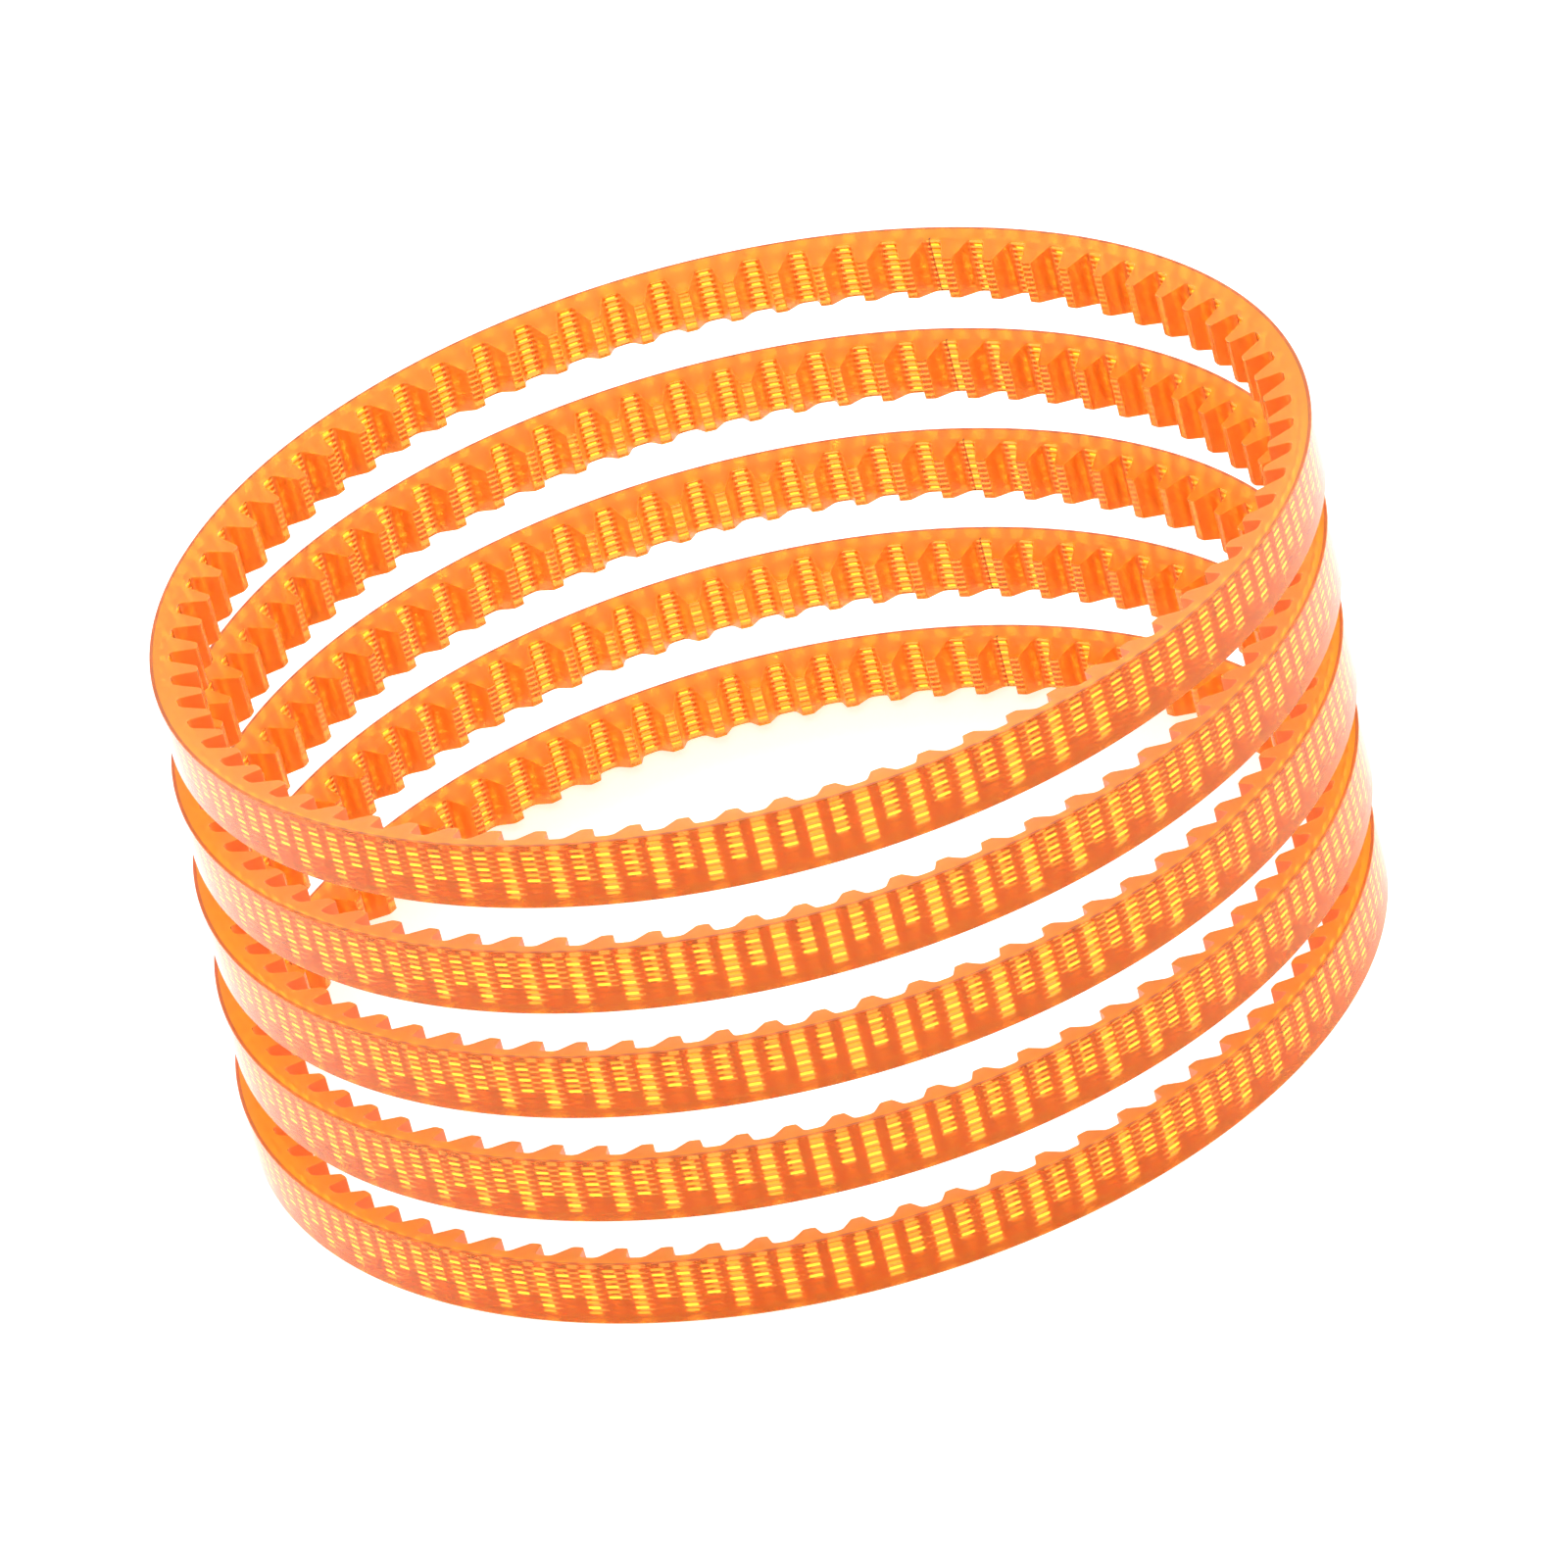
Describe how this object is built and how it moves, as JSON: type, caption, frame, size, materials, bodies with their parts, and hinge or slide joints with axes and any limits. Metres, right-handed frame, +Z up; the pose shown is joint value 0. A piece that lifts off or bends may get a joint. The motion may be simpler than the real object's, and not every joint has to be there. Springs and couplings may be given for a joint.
{
  "type": "cogged v belt set",
  "caption": "Set of endless cogged V belts of translucent polyurethane with wound tension cords, for a small machine drive.",
  "frame": {"origin": "centre of the set's box, on the surface that the lowest belt lies on", "axes": "+Z up along the belts' axes; +X is the way in which each belt is offset from the one below it"},
  "size_m": [0.1223, 0.1188, 0.0544],
  "materials": {
    "orange_polyurethane": "gloss, translucent",
    "golden_cord": "satin"
  },
  "bodies": {
    "belt_1": {"belt_1_casting": "orange_polyurethane", "belt_1_cord_s": "golden_cord", "belt_1_cord_z": "golden_cord"},
    "belt_2": {"belt_2_casting": "orange_polyurethane", "belt_2_cord_s": "golden_cord", "belt_2_cord_z": "golden_cord"},
    "belt_3": {"belt_3_casting": "orange_polyurethane", "belt_3_cord_s": "golden_cord", "belt_3_cord_z": "golden_cord"},
    "belt_4": {"belt_4_casting": "orange_polyurethane", "belt_4_cord_s": "golden_cord", "belt_4_cord_z": "golden_cord"},
    "belt_5": {"belt_5_casting": "orange_polyurethane", "belt_5_cord_s": "golden_cord", "belt_5_cord_z": "golden_cord"}
  },
  "joints": [
    {"name": "belt_2_lift", "type": "slide", "parent": "belt_1", "child": "belt_2", "axis": [0, 0, 1], "range_m": [-0.0045, 0.02]},
    {"name": "belt_3_lift", "type": "slide", "parent": "belt_2", "child": "belt_3", "axis": [0, 0, 1], "range_m": [-0.0045, 0.02]},
    {"name": "belt_4_lift", "type": "slide", "parent": "belt_3", "child": "belt_4", "axis": [0, 0, 1], "range_m": [-0.0045, 0.02]},
    {"name": "belt_5_lift", "type": "slide", "parent": "belt_4", "child": "belt_5", "axis": [0, 0, 1], "range_m": [-0.0045, 0.02]}
  ]
}
